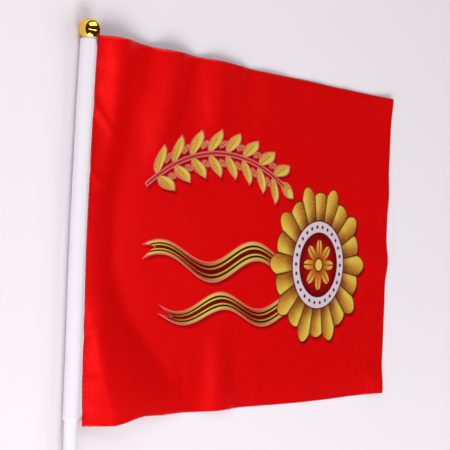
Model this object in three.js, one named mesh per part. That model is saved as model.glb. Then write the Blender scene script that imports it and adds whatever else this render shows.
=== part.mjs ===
// Hand flag lying flat: a cloth sewn by its hoist edge to a sleeve, which is pulled over a plastic
// stick with a gilt ball. Millimetres. +X runs from the stick to the fly edge, +Y along the stick to
// the ball, and the cloth lies on z = 0. The cloth is built with its hoist seam at x = 0 and its
// middle at y = 0, and the finished group is moved so that its origin is under its middle.
import * as THREE from 'three';

// Driving dimensions.
const GAP = 0.3;
const SEAM_FROM_AXIS = 8.4;
const SEAM_BELOW_AXIS = 1;
const CLOTH = { width: 286, height: 200, thickness: 1 };
const STICK = { diameter: 7, length: 400, sides: 24, steps: 20, chamfer: 0.6 };
const BALL = { diameter: 11, segments: 28, latitudes: 14, socketPastCentre: 1, restFlat: 0.12 };
const SLEEVE = { wall: 1, top: 97.3, bottom: -96.2, steps: 14, sides: 18 };
const TONGUE = { tip: SEAM_FROM_AXIS - GAP, rootPastSleeve: 1, shorter: 1.2, rootRise: 0.5 };

// The stick is gently bowed away from the cloth, and the sleeve and the seam follow it.
const BOW = 1.6;
const AXIS = { ballY: 102.4, heightAtBall: BALL.diameter / 2 - BALL.restFlat, slope: 0.0031 };

// The cloth beside the seam, one row for each section along the hoist: it rises from the seam, is
// level from riseX to edgeX, and falls to the table at the foot.
const HOIST_SECTIONS = [
  { y: -100, riseX: 9, edgeX: 17, footX: 41, crestZ: 7.8 },
  { y: -75, riseX: 6, edgeX: 11, footX: 31, crestZ: 6.4 },
  { y: -50, riseX: 3, edgeX: 5, footX: 20, crestZ: 4.9 },
  { y: -25, riseX: 1, edgeX: 2, footX: 13, crestZ: 3.9 },
  { y: 0, riseX: 1, edgeX: 2, footX: 12, crestZ: 3.9 },
  { y: 25, riseX: 2, edgeX: 6, footX: 20, crestZ: 4.1 },
  { y: 50, riseX: 4, edgeX: 12, footX: 28, crestZ: 5 },
  { y: 75, riseX: 5, edgeX: 15, footX: 33, crestZ: 6.7 },
  { y: 100, riseX: 7, edgeX: 16, footX: 37, crestZ: 8.3 },
];

// Folds that run in from the edges: the crest goes from its high end at the edge to its low end.
const FOLDS = [
  { highX: 60, highY: 100, lowX: 47, lowY: 20, rise: 5.2, highHalf: 24, lowHalf: 14 },
  { highX: 101, highY: 100, lowX: 98, lowY: 45, rise: 3.2, highHalf: 24, lowHalf: 16 },
  { highX: 150, highY: 100, lowX: 146, lowY: 60, rise: 0.9, highHalf: 26, lowHalf: 18 },
  { highX: 113, highY: -100, lowX: 109, lowY: -42, rise: 2, highHalf: 21, lowHalf: 14 },
  { highX: 286, highY: -11, lowX: 246, lowY: -16, rise: 2.7, highHalf: 15, lowHalf: 9 },
  { highX: 286, highY: 34, lowX: 252, lowY: 30, rise: 0.8, highHalf: 16, lowHalf: 10 },
  { highX: 286, highY: 100, lowX: 262, lowY: 78, rise: 1.3, highHalf: 20, lowHalf: 12 },
  { highX: 286, highY: -100, lowX: 256, lowY: -78, rise: 1.9, highHalf: 22, lowHalf: 12 },
];

// The cuts are not quite straight: each row pulls an edge in, most at one place along it.
const BOTTOM_CUT = [
  { x: 66, inwards: 1.5, half: 52 },
  { x: 128, inwards: 0.5, half: 40 },
];
const FLY_CUT = [
  { y: 52, inwards: 1.4, half: 60 },
  { y: -46, inwards: 1.2, half: 40 },
];

// The cloth's grid: a row for each stretch away from the seam, and the number of rows along it.
const GRID_STRETCHES = [
  { end: 42, cells: 15 },
  { end: 120, cells: 14 },
  { end: CLOTH.width, cells: 16 },
];
const GRID_ROWS = 34;

const STICK_RADIUS = STICK.diameter / 2;
const SLEEVE_INNER = STICK_RADIUS + GAP;
const SLEEVE_OUTER = SLEEVE_INNER + SLEEVE.wall;
const HALF_HEIGHT = CLOTH.height / 2;
const TONGUE_OPENING = 0.48;

const MATERIALS = {
  cloth: new THREE.MeshStandardMaterial({ color: 0xd20408, roughness: 0.6, metalness: 0 }),
  sleeve: new THREE.MeshStandardMaterial({ color: 0xf2eff6, roughness: 0.8, metalness: 0 }),
  stick: new THREE.MeshStandardMaterial({ color: 0xf7f6f8, roughness: 0.35, metalness: 0 }),
  gilt: new THREE.MeshStandardMaterial({ color: 0xd9a520, roughness: 0.08, metalness: 1 }),
};

function smooth(t) {
  const u = THREE.MathUtils.clamp(t, 0, 1);
  return u * u * (3 - 2 * u);
}

// A hump that is 1 at its middle and 0 from one half width away.
function hump(offset, half) {
  const t = Math.min(Math.abs(offset) / half, 1);
  return Math.cos((t * Math.PI) / 2) ** 2;
}

// How far the stick, the sleeve and the seam stand off a straight line. Past the cloth's edges the
// stick runs straight on.
function bowAt(y) {
  const reach = THREE.MathUtils.clamp(y, -HALF_HEIGHT, HALF_HEIGHT);
  const slope = (2 * BOW * reach) / HALF_HEIGHT ** 2;
  return BOW * ((reach / HALF_HEIGHT) ** 2 - 1) + slope * (y - reach);
}

function axisHeight(y) {
  return AXIS.heightAtBall + AXIS.slope * (y - AXIS.ballY);
}

function axisPoint(y) {
  return new THREE.Vector3(bowAt(y) - SEAM_FROM_AXIS, y, axisHeight(y));
}

// A smooth curve through each column of the hoist table, whose rows are evenly spaced.
const HOIST_CURVES = ['riseX', 'edgeX', 'footX', 'crestZ'].map((column) => (
  new THREE.SplineCurve(HOIST_SECTIONS.map((row) => new THREE.Vector2(row.y, row[column])))
));

// Underside of the cloth beside the seam.
function hoistHeight(x, y) {
  const seamZ = axisHeight(y) - SEAM_BELOW_AXIS;
  const share = (y + HALF_HEIGHT) / CLOTH.height;
  const [riseX, edgeX, footX, crestZ] = HOIST_CURVES.map((curve) => curve.getPoint(share).y);
  if (x < riseX) return THREE.MathUtils.lerp(seamZ, crestZ, Math.sin((x / riseX) * (Math.PI / 2)));
  return crestZ * (1 - smooth((x - edgeX) / (footX - edgeX)));
}

function foldHeight(fold, x, y) {
  const along = new THREE.Vector2(fold.lowX - fold.highX, fold.lowY - fold.highY);
  const from = new THREE.Vector2(x - fold.highX, y - fold.highY);
  const t = THREE.MathUtils.clamp(from.dot(along) / along.lengthSq(), 0, 1);
  const across = from.cross(along) / along.length();
  const half = THREE.MathUtils.lerp(fold.highHalf, fold.lowHalf, t);
  return fold.rise * (1 - smooth(t)) * hump(across, half);
}

function clothHeight(x, y) {
  return FOLDS.reduce((sum, fold) => sum + foldHeight(fold, x, y), hoistHeight(x, y));
}

// A point of the cloth's underside: x from the seam and y from the middle, before the cuts.
function clothPoint(x, y) {
  const share = x / CLOTH.width;
  const bottomCut = BOTTOM_CUT.reduce((sum, row) => sum + row.inwards * hump(x - row.x, row.half), 0);
  const flyCut = FLY_CUT.reduce((sum, row) => sum + row.inwards * hump(y - row.y, row.half), 0);
  const cutY = bottomCut * ((HALF_HEIGHT - y) / CLOTH.height);
  return new THREE.Vector3(x + bowAt(y) * (1 - share) - flyCut * share, y + cutY, clothHeight(x, y));
}

function solidFrom(points, triangles) {
  const geometry = new THREE.BufferGeometry();
  geometry.setAttribute('position', new THREE.Float32BufferAttribute(points.flatMap((p) => p.toArray()), 3));
  geometry.setIndex(triangles.flat());
  geometry.computeVertexNormals();
  return geometry;
}

// Two triangles for the quad a, b, c, d, named counter-clockwise as seen from outside.
function quad(a, b, c, d) {
  return [[a, b, c], [a, c, d]];
}

function gridLines() {
  const lines = [0];
  for (const { end, cells } of GRID_STRETCHES) {
    const start = lines[lines.length - 1];
    for (let i = 1; i <= cells; i += 1) lines.push(start + ((end - start) * i) / cells);
  }
  return lines;
}

// The cloth: a slab on a grid, its top one thickness over its underside.
function clothGeometry() {
  const xs = gridLines();
  const ys = Array.from({ length: GRID_ROWS + 1 }, (_, j) => -HALF_HEIGHT + (CLOTH.height * j) / GRID_ROWS);
  const points = [];
  for (const lift of [0, CLOTH.thickness]) {
    for (const y of ys) {
      for (const x of xs) points.push(clothPoint(x, y).add(new THREE.Vector3(0, 0, lift)));
    }
  }
  const columns = xs.length;
  const layer = columns * ys.length;
  const at = (i, j) => j * columns + i;
  const triangles = [];
  for (let j = 0; j < GRID_ROWS; j += 1) {
    for (let i = 0; i < columns - 1; i += 1) {
      const [a, b, c, d] = [at(i, j), at(i + 1, j), at(i + 1, j + 1), at(i, j + 1)];
      triangles.push(...quad(a, d, c, b), ...quad(a + layer, b + layer, c + layer, d + layer));
    }
  }
  const last = columns - 1;
  for (let i = 0; i < last; i += 1) {
    triangles.push(...quad(at(i, 0), at(i + 1, 0), at(i + 1, 0) + layer, at(i, 0) + layer));
    const [a, b] = [at(i + 1, GRID_ROWS), at(i, GRID_ROWS)];
    triangles.push(...quad(a, b, b + layer, a + layer));
  }
  for (let j = 0; j < GRID_ROWS; j += 1) {
    triangles.push(...quad(at(last, j), at(last, j + 1), at(last, j + 1) + layer, at(last, j) + layer));
    triangles.push(...quad(at(0, j + 1), at(0, j), at(0, j) + layer, at(0, j + 1) + layer));
  }
  return solidFrom(points, triangles);
}

// A skin over loops of equal count, each going round +Y as seen from its end, with faces outwards.
function loopSkin(loops, joined) {
  const count = loops[0].length;
  const triangles = [];
  const last = joined ? loops.length : loops.length - 1;
  for (let k = 0; k < last; k += 1) {
    const next = (k + 1) % loops.length;
    for (let i = 0; i < count; i += 1) {
      const j = (i + 1) % count;
      triangles.push(...quad(k * count + i, k * count + j, next * count + j, next * count + i));
    }
  }
  return { points: loops.flat(), triangles };
}

// A circle round the stick's axis at y, going from +X towards +Z.
function circleLoop(y, radius) {
  return Array.from({ length: STICK.sides }, (_, i) => {
    const angle = ((i + 0.5) / STICK.sides) * 2 * Math.PI;
    return axisPoint(y).add(new THREE.Vector3(radius * Math.cos(angle), 0, radius * Math.sin(angle)));
  });
}

// The stick: a rod with a small chamfer at each end, bowed with the seam.
function stickGeometry() {
  const top = AXIS.ballY + BALL.socketPastCentre - GAP;
  const bottom = top - STICK.length;
  const sections = [{ y: top, radius: STICK_RADIUS - STICK.chamfer }];
  for (let k = 0; k <= STICK.steps; k += 1) {
    const y = top - STICK.chamfer - ((STICK.length - 2 * STICK.chamfer) * k) / STICK.steps;
    sections.push({ y, radius: STICK_RADIUS });
  }
  sections.push({ y: bottom, radius: STICK_RADIUS - STICK.chamfer });
  const loops = sections.map(({ y, radius }) => circleLoop(y, radius));
  const { points, triangles } = loopSkin(loops, false);
  const firstCentre = points.push(axisPoint(top)) - 1;
  const lastCentre = points.push(axisPoint(bottom)) - 1;
  const lastLoop = (loops.length - 1) * STICK.sides;
  for (let i = 0; i < STICK.sides; i += 1) {
    const j = (i + 1) % STICK.sides;
    triangles.push([firstCentre, j, i], [lastCentre, lastLoop + i, lastLoop + j]);
  }
  return solidFrom(points, triangles);
}

// The sleeve's outer section: out along the flat tongue to the seam and round the stick.
function sleeveOutline() {
  const roundPart = [];
  const [first, last] = [TONGUE_OPENING, 2 * Math.PI - TONGUE_OPENING];
  for (let i = 0; i < SLEEVE.sides; i += 1) {
    const angle = first + ((last - first) * i) / (SLEEVE.sides - 1);
    roundPart.push([SLEEVE_OUTER * Math.cos(angle), SLEEVE_OUTER * Math.sin(angle)]);
  }
  const underside = -SEAM_BELOW_AXIS;
  const topside = underside + SLEEVE.wall;
  const root = SLEEVE_OUTER + TONGUE.rootPastSleeve;
  const upper = [[TONGUE.tip, topside], [root, topside + TONGUE.rootRise]];
  const lower = [[root, underside - TONGUE.rootRise], [TONGUE.tip, underside]];
  return [...upper, ...roundPart, ...lower];
}

// The sleeve: the outer section is carried down the stick and a round bore back up inside it.
function sleeveGeometry() {
  const outline = sleeveOutline();
  const bore = outline.map(([x, z]) => {
    const angle = Math.atan2(z, x);
    return [SLEEVE_INNER * Math.cos(angle), SLEEVE_INNER * Math.sin(angle)];
  });
  const shorten = (x) => TONGUE.shorter * smooth((x - SLEEVE_OUTER) / (TONGUE.tip - SLEEVE_OUTER));
  const loopAt = (section, t) => section.map(([x, z]) => {
    const y = THREE.MathUtils.lerp(SLEEVE.top, SLEEVE.bottom + shorten(x), t);
    return axisPoint(y).add(new THREE.Vector3(x, 0, z));
  });
  const shares = Array.from({ length: SLEEVE.steps + 1 }, (_, k) => k / SLEEVE.steps);
  const outside = shares.map((t) => loopAt(outline, t));
  const inside = shares.map((t) => loopAt(bore, t)).reverse();
  const { points, triangles } = loopSkin([...outside, ...inside], true);
  return solidFrom(points, triangles);
}

// The ball: a sphere turned about the stick's axis, with a blind socket for the stick and a small flat
// where it rests.
function ballGeometry() {
  const radius = BALL.diameter / 2;
  const bore = STICK_RADIUS + GAP;
  const rimAngle = Math.asin(bore / radius);
  const socketEnd = BALL.socketPastCentre;
  const profile = [new THREE.Vector2(0, socketEnd), new THREE.Vector2(bore, socketEnd)];
  for (let k = 0; k <= BALL.latitudes; k += 1) {
    const angle = THREE.MathUtils.lerp(rimAngle, Math.PI, k / BALL.latitudes);
    const across = k === BALL.latitudes ? 0 : radius * Math.sin(angle);
    profile.push(new THREE.Vector2(across, -radius * Math.cos(angle)));
  }
  const halfStep = Math.PI / BALL.segments;
  const geometry = new THREE.LatheGeometry(profile, BALL.segments, halfStep);
  const position = geometry.getAttribute('position');
  for (let i = 0; i < position.count; i += 1) {
    position.setZ(i, Math.max(position.getZ(i), BALL.restFlat - radius));
  }
  return geometry;
}

function named(name, geometry, material) {
  const mesh = new THREE.Mesh(geometry, material);
  mesh.name = name;
  return mesh;
}

const flag = new THREE.Group();
flag.add(named('flag_cloth', clothGeometry(), MATERIALS.cloth));
flag.add(named('sleeve', sleeveGeometry(), MATERIALS.sleeve));
flag.add(named('stick', stickGeometry(), MATERIALS.stick));
const ball = named('ball_finial', ballGeometry(), MATERIALS.gilt);
ball.position.copy(axisPoint(AXIS.ballY));
flag.add(ball);

// The origin is under the middle of the whole flag.
const box = new THREE.Box3().setFromObject(flag);
flag.position.set(-(box.min.x + box.max.x) / 2, -(box.min.y + box.max.y) / 2, -box.min.z);

export default flag;
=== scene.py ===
# A hand flag lying on a table: a printed red satin cloth with heat-cut edges, sewn to a white sleeve
# on a white plastic stick that ends in a gilt ball. Lengths are in millimetres until a mesh is made.
from functools import cache

import bmesh
import bpy
import numpy as np
from mathutils import Matrix, Vector


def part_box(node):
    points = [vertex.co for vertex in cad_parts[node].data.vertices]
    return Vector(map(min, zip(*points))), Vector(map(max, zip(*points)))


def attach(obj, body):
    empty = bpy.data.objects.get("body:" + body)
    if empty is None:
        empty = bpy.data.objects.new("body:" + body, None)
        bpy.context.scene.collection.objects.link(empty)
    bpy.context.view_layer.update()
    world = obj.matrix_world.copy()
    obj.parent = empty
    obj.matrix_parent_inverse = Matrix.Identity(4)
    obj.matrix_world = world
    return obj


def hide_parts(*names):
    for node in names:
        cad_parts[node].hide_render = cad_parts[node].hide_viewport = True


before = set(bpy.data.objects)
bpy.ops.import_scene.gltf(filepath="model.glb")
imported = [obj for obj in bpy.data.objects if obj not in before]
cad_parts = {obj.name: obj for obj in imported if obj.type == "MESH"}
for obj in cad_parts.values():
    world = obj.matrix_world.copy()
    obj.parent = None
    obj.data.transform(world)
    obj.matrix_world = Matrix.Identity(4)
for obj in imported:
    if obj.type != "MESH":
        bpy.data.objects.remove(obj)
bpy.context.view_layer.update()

MM = 0.001

# Sizes that are the solids' own.
CLOTH_WIDTH = 286.0
HALF_HEIGHT = 100.0
SOLID_CLOTH = 1.0
STICK_RADIUS = 3.5
STICK_TOP = 103.1
STICK_LENGTH = 400.0
SLEEVE_BOTTOM = -96.2
SEAM_FROM_AXIS = 8.4
SEAM_BELOW_AXIS = 1.0
BOW = 1.6
AXIS_SLOPE = 0.0031

# The ball is a little fuller than its solid, with its middle just as high, and the sleeve ends closer
# under it.
BALL_RADIUS = 5.65
BALL_Y = 102.25
BALL_REST_FLAT = 0.27
AXIS_HEIGHT_AT_BALL = BALL_RADIUS - BALL_REST_FLAT
SLEEVE_TOP = 97.6

# The thin cloths, the stick's wall, how the stick and the seam lie, and how loose the cloth is.
SATIN_THICKNESS = 0.24
SLEEVE_THICKNESS = 0.2
STICK_WALL = 1.1
STICK_LEAN = 0.7
SEAM_SAG = 1.15
FLAT_LIFT = 0.45
FLY_CURL = 0.4
FLY_CURL_WIDTH = 34.0
LYING_BELOW = 1.6

# The sleeve's section: the share of the strip's width in each layer of its tongue, how far both run on
# under the red cloth, the angles round the stick where they leave it, measured from the cloth's side,
# the tube's slack and its angle, and the shallow valley before the seam.
TONGUE_SHARE = 0.28
TONGUE_UNDER_CLOTH = 2.8
TUBE_CLEARANCE = 0.05
TUBE_RADIUS = STICK_RADIUS + TUBE_CLEARANCE + SLEEVE_THICKNESS / 2
UPPER_LEAVES = 1.05
LOWER_LEAVES = -1.3
TUBE_SAG = 1.0
TUBE_SAG_ANGLE = 4.5
TUBE_SAG_HALF = 1.7
VALLEY_DEPTH = 0.34
VALLEY_FROM_SEAM = 1.2
TOP_ASLANT = 1.7
BOTTOM_ASLANT = 1.4

# The sewing, the melted bead and the loose fibres of the cut edge.
STITCH_PITCH = 2.6
STITCH_LENGTH = 2.1
STITCH_FROM_EDGE = 1.2
STITCH_RADIUS = 0.11
LOOSE_THREAD_RADIUS = 0.17
EDGE_STEP = 0.7
BEAD_RADIUS = 0.15
FIBRE_COUNT = 900
FIBRE_RADIUS = 0.05

# How finely the large pieces are divided: the cloth's stretches from the seam, each with its end and
# its cells, the cloth's cells up the hoist, the sleeve's cells across and down, and the round bodies.
CLOTH_STRETCHES = ((50, 64), (150, 80), (CLOTH_WIDTH, 96))
CLOTH_ROWS = 170
SLEEVE_CELLS = (96, 320)
STICK_SIDES = 48
BALL_SIDES = 96

# The weaves: a five-shaft satin and a plain weave.
SATIN_WEAVE = dict(pitch=0.24, shift=2.0, repeat=5.0)
LINING_WEAVE = dict(pitch=0.34, shift=1.0, repeat=2.0)

# The frame's place of the seam's middle on the table. The solid's seam bows out by BOW there.
cloth_low, cloth_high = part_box("flag_cloth")
SEAM_ORIGIN = np.array([cloth_low[0] / MM + BOW, (cloth_low[1] + cloth_high[1]) / 2 / MM, 0.0])

# The cloth beside the seam, one row for each section along the hoist, evenly spaced: it rises from the
# seam to crest_z at rise_x, or at edge_x towards the low corner, and falls from edge_x to the table at
# foot_x.
HOIST_SECTIONS = [
    dict(y=-100, rise_x=9, edge_x=19, foot_x=90, crest_z=8.0),
    dict(y=-75, rise_x=6, edge_x=11, foot_x=70, crest_z=6.5),
    dict(y=-50, rise_x=3, edge_x=5, foot_x=42, crest_z=5.0),
    dict(y=-25, rise_x=1, edge_x=2, foot_x=26, crest_z=4.0),
    dict(y=0, rise_x=1, edge_x=2, foot_x=22, crest_z=4.0),
    dict(y=25, rise_x=2, edge_x=4, foot_x=24, crest_z=4.0),
    dict(y=50, rise_x=9, edge_x=12, foot_x=30, crest_z=4.1),
    dict(y=75, rise_x=9, edge_x=15, foot_x=33, crest_z=6.2),
    dict(y=100, rise_x=7, edge_x=16, foot_x=37, crest_z=8.3),
]

# Folds that run in from the edges: the crest goes from its high end at the edge to its low end, with
# its half width at each.
FOLDS = [
    dict(high=(60, 100), low=(47, 20), rise=5.2, halves=(24, 14)),
    dict(high=(34, 100), low=(33, 48), rise=2.5, halves=(10, 9)),
    dict(high=(101, 100), low=(98, 45), rise=3.2, halves=(24, 16)),
    dict(high=(120, 100), low=(118, 66), rise=1.5, halves=(7, 6)),
    dict(high=(150, 100), low=(146, 60), rise=0.9, halves=(26, 18)),
    dict(high=(113, -100), low=(109, -42), rise=2.0, halves=(21, 14)),
    dict(high=(286, -11), low=(246, -16), rise=1.7, halves=(17, 10)),
    dict(high=(286, 34), low=(252, 30), rise=0.8, halves=(16, 10)),
    dict(high=(286, 100), low=(262, 78), rise=1.3, halves=(20, 12)),
    dict(high=(286, -100), low=(256, -78), rise=1.9, halves=(22, 12)),
]

# Fine soft ridges that only the thin cloth has, as the folds above.
FINE_RIDGES = [
    dict(high=(262, -96), low=(250, -40), rise=0.35, halves=(3.5, 2.5)),
    dict(high=(254, -88), low=(243, -36), rise=0.28, halves=(3.0, 2.2)),
    dict(high=(150, -98), low=(144, -62), rise=0.45, halves=(9, 6)),
    dict(high=(196, -99), low=(192, -70), rise=0.35, halves=(10, 6)),
    dict(high=(76, -99), low=(70, -60), rise=0.45, halves=(9, 6)),
    dict(high=(196, 99), low=(193, 66), rise=0.4, halves=(12, 8)),
    dict(high=(232, 99), low=(230, 72), rise=0.35, halves=(10, 7)),
    dict(high=(3, -52), low=(30, -30), rise=0.4, halves=(4, 3)),
    dict(high=(2, 62), low=(26, 40), rise=0.4, halves=(5, 3)),
    dict(high=(2, 30), low=(24, 12), rise=0.35, halves=(4, 3)),
]

# The cuts are not quite straight: each row pulls an edge in, or lets it out where it is negative, most
# at one place along it and no more from a half width away.
TOP_CUT = [
    dict(at=20, inwards=-0.6, half=55),
    dict(at=98, inwards=-0.6, half=54),
    dict(at=185, inwards=-0.4, half=35),
]
BOTTOM_CUT = [
    dict(at=66, inwards=1.3, half=45),
    dict(at=128, inwards=0.3, half=40),
    dict(at=40, inwards=1.7, half=24),
    dict(at=22, inwards=-0.8, half=24),
    dict(at=205, inwards=-0.75, half=70),
]
FLY_CUT = [
    dict(at=58, inwards=0.3, half=45),
    dict(at=-52, inwards=-0.25, half=50),
]

# The folds are averaged over these offsets, in shares of the reach, with these weights.
ROUNDING = ((-1.0, 0.15), (-0.5, 0.22), (0.0, 0.26), (0.5, 0.22), (1.0, 0.15))

# The loose thread's route from the seam's lower end.
LOOSE_THREAD = np.array([
    (1.3, -93.6, 4.9),
    (0.8, -94.6, 4.9),
    (0.1, -95.3, 4.8),
    (-0.8, -95.8, 4.7),
    (-1.6, -96.3, 4.4),
    (-2.5, -97.2, 3.9),
])

# The print's places on the flat cloth: the rosette with its dotted ring, disc and flower, the sprig on
# its arc, whose start and end are lengths along it, and the streamers' centre lines.
ROSETTE_AT = (208.0, -14.0)
ROSETTE_PLEATS = 20
ROSETTE_RADIUS = 48
RING_RADIUS = 24.0
RING_HALF = 3.4
RING_DOTS = 26
DOT_RADIUS = 1.15
DISC_RADIUS = 20.0
SPRIG_CENTRE = (112.0, -64.0)
SPRIG_RADIUS = 112.0
SPRIG_START = -69.75
SPRIG_END = 54.25
LEAF_PITCH = 15.5
LEAF_SLANT = 0.75
LEAF_REACH = 13.0
BERRY_RADIUS = 1.5
STREAMERS = [
    dict(left=46.0, right=184.0, level=-14.0, sway=6.5, wave=84.0, phase=0.6, half=5.2),
    dict(left=62.0, right=190.0, level=-42.0, sway=5.0, wave=72.0, phase=3.4, half=4.6),
]
FORK_DEPTH = 9.0
SHADOW_SHIFT = (1.5, -1.8)

# The camera's eye from the seam's middle, and its directions.
CAMERA_EYE = np.array([-478.0, -5.1, 483.8])
CAMERA_FORWARD = Vector((0.77384, 0.01628, -0.63318))
CAMERA_UP = Vector((-0.03903, 0.999, -0.02201))
CAMERA_LENS = 105.16
CAMERA_SENSOR = 36.0

# The lights, in metres and watts: the direction and the distance from the flag's middle, and the size,
# up and down first and then across. The second list shows only in glossy surfaces.
SOFT_LIGHTS = [
    dict(name="low_light", direction=(-0.15, -0.75, 0.65), distance=1.2, size=(0.7, 0.9), power=12.8),
    dict(name="side_light", direction=(-0.60, -0.66, 0.40), distance=1.2, size=(0.7, 0.9), power=5.0),
    dict(name="near_light", direction=(-0.90, -0.26, 0.28), distance=1.2, size=(0.7, 0.9), power=5.8),
    dict(name="far_light", direction=(-0.50, 0.72, 0.5), distance=1.2, size=(0.7, 0.9), power=5.4),
    dict(name="wide_fill", direction=(0.75, 0.0, 0.6), distance=1.5, size=(1.0, 1.8), power=14.6),
]
MIRRORED_LIGHTS = [
    dict(name="low_softbox", direction=(-0.26, -0.87, 0.36), distance=1.1, size=(0.66, 1.0), power=13.0),
    dict(name="far_softbox", direction=(-0.07, 0.85, 0.53), distance=1.1, size=(0.6, 1.3), power=8.0),
]
STRIP_PLACE = (-0.7, 0.02, 1.1)
STRIP_SIZE = (2.4, 0.03)
STRIP_POWER = 4.4
LIGHT_TINT = (1.0, 0.99, 1.0)
ROOM_COLOUR = (0.05, 0.05 * 0.6, 0.05 * 0.65, 1.0)
TABLE_HALF = 4000.0

rng = np.random.default_rng(11)


# Colours

def screen_colour(red, green, blue):
    """A linear colour from its eight-bit screen values."""
    part = np.array([red, green, blue]) / 255
    part = np.where(part <= 0.04045, part / 12.92, ((part + 0.055) / 1.055) ** 2.4)
    return (*part.tolist(), 1.0)


RED = screen_colour(250, 0, 1)
# Painted light: the brighter red that the cloth is painted with towards its bottom edge.
RED_BOTTOM_EDGE_LIGHT = screen_colour(255, 6, 8)
RED_BACK = screen_colour(232, 30, 34)
RED_SHADOW = screen_colour(96, 0, 4)
DARK_RED = screen_colour(112, 0, 8)
GOLD_LIGHT = screen_colour(252, 222, 94)
GOLD = screen_colour(238, 158, 42)
GOLD_DEEP = screen_colour(186, 62, 18)
BLACK = screen_colour(24, 8, 8)
PINK_WHITE = screen_colour(250, 226, 236)
PINK = screen_colour(242, 122, 128)
MELT_DARK = screen_colour(118, 0, 8)
MELT_RED = screen_colour(184, 4, 12)
MELT_PALE = screen_colour(226, 80, 90)
THREAD_DARK = screen_colour(152, 2, 8)
THREAD_RED = screen_colour(202, 8, 14)
LINING_WHITE = screen_colour(216, 212, 218)
# Painted shade: the darker, bluer white painted between the lining's yarns.
LINING_GAP_SHADE = screen_colour(190, 186, 198)
STICK_WHITE = screen_colour(214, 214, 219)
STICK_SCUFF = screen_colour(196, 195, 201)
GILT_LIGHT = screen_colour(255, 212, 84)
GILT_DEEP = screen_colour(250, 194, 62)
TABLE_GREY = screen_colour(222, 217, 222)
TABLE_PALE = screen_colour(224, 220, 224)


# Shapes

def smooth(t):
    """Three t squared less two t cubed, held between 0 and 1."""
    u = np.clip(t, 0.0, 1.0)
    return u * u * (3.0 - 2.0 * u)


def hump(offset, half):
    """A squared cosine: 1 at the middle and 0 from one half width away."""
    return np.cos(np.clip(np.abs(offset) / half, 0.0, 1.0) * np.pi / 2) ** 2


def bow(y):
    """The stick's, sleeve's and seam's bow: a parabola over the cloth's height, then its tangents."""
    reach = np.clip(y, -HALF_HEIGHT, HALF_HEIGHT)
    slope = 2 * BOW * reach / HALF_HEIGHT**2
    return BOW * ((reach / HALF_HEIGHT) ** 2 - 1) + slope * (y - reach)


def axis_height(y):
    """The height of the stick's axis: a straight line that rises towards the ball."""
    return AXIS_HEIGHT_AT_BALL + AXIS_SLOPE * (y - BALL_Y)


def axis_point(y):
    """The stick's axis at y, as an array of x, y and z. Below the cloth it leans away by STICK_LEAN."""
    lean = STICK_LEAN * smooth((-55 - y) / 50)
    return np.stack([bow(y) - SEAM_FROM_AXIS - lean, y, axis_height(y)], axis=-1)


def through_rows(column, y):
    """A Catmull-Rom curve through one column of the hoist's sections."""
    places = [row["y"] for row in HOIST_SECTIONS]
    values = np.array([row[column] for row in HOIST_SECTIONS], dtype=float)
    last = len(values) - 1
    place = np.interp(y, places, np.arange(len(values)))
    index = np.minimum(place.astype(int), last - 1)
    t = place - index
    p0, p1 = values[np.maximum(index - 1, 0)], values[index]
    p2, p3 = values[index + 1], values[np.minimum(index + 2, last)]
    m1, m2 = (p2 - p0) / 2, (p3 - p1) / 2
    return (2 * p1 - 2 * p2 + m1 + m2) * t**3 + (3 * p2 - 3 * p1 - 2 * m1 - m2) * t**2 + m1 * t + p1


def hoist_height(x, y):
    """Beside the seam: a quarter sine up to the crest at rise_x, which towards the low corner gives way
    to a nearly straight rise up to edge_x, then an eased fall from edge_x to the table. The thin cloth's
    seam sags under the solid's by SEAM_SAG, in two steps along the hoist. The sag ends a few mm from the
    seam, or near the foot where the cloth has no crest."""
    rise_x, edge_x, foot_x, crest_z = (
        through_rows(column, y) for column in ("rise_x", "edge_x", "foot_x", "crest_z")
    )
    seam_z = axis_height(y) - SEAM_BELOW_AXIS
    tented = smooth((-30 - y) / 45)
    quick = np.sin(np.clip(x / rise_x, 0, 1) * np.pi / 2)
    arc = 0.7
    straight = np.sin(np.clip(x / edge_x, 0, 1) * arc) / np.sin(arc)
    rising = seam_z + (crest_z - seam_z) * (quick + (straight - quick) * tented)
    steps = 0.5 * smooth((y + 45) / 40) + 0.5 * smooth((y + 96) / 20)
    reach = 3 + rise_x * 1.2 + (foot_x - 6) * hump(y - 12, 80)
    sag = SEAM_SAG * steps * (1 - smooth(x / reach))
    return rising * (1 - smooth((x - edge_x) / (foot_x - edge_x))) - sag


def ridge_height(row, x, y):
    """A ridge: a squared cosine across the line from its high end to its low end, fading on the way."""
    (high_x, high_y), (low_x, low_y) = row["high"], row["low"]
    along = np.array([low_x - high_x, low_y - high_y], dtype=float)
    length = np.hypot(*along)
    dx, dy = x - high_x, y - high_y
    t = np.clip((dx * along[0] + dy * along[1]) / length**2, 0, 1)
    across = (dx * along[1] - dy * along[0]) / length
    half = row["halves"][0] + (row["halves"][1] - row["halves"][0]) * t
    return row["rise"] * (1 - smooth(t)) * hump(across, half)


def puckers(x, y):
    """Small gathers at the seam: sines of uneven pitch along it, fading over a few millimetres."""
    wave = 0.6 * np.sin(y / 1.9 + 1.3 * np.sin(y / 17)) + 0.4 * np.sin(y / 3.4 + 2.0 * np.sin(y / 29 + 1))
    return 0.14 * wave * np.exp(-np.maximum(x, 0) / 7) * smooth((x + 0.4) / 2)


def slack(x, y):
    """The loose lie of the flat part: slow crossed sines, lifted so that none dips into the table."""
    wave = np.sin(x / 23 + 1.2 * np.sin(y / 41)) * np.sin(y / 31 + 0.9 * np.sin(x / 37 + 2))
    fine = np.sin(x / 8.3 + 2.1 * np.sin(y / 57 + 1)) * 0.18
    return 0.22 * (wave + fine + 1.2) * smooth((x - 20) / 30)


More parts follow.
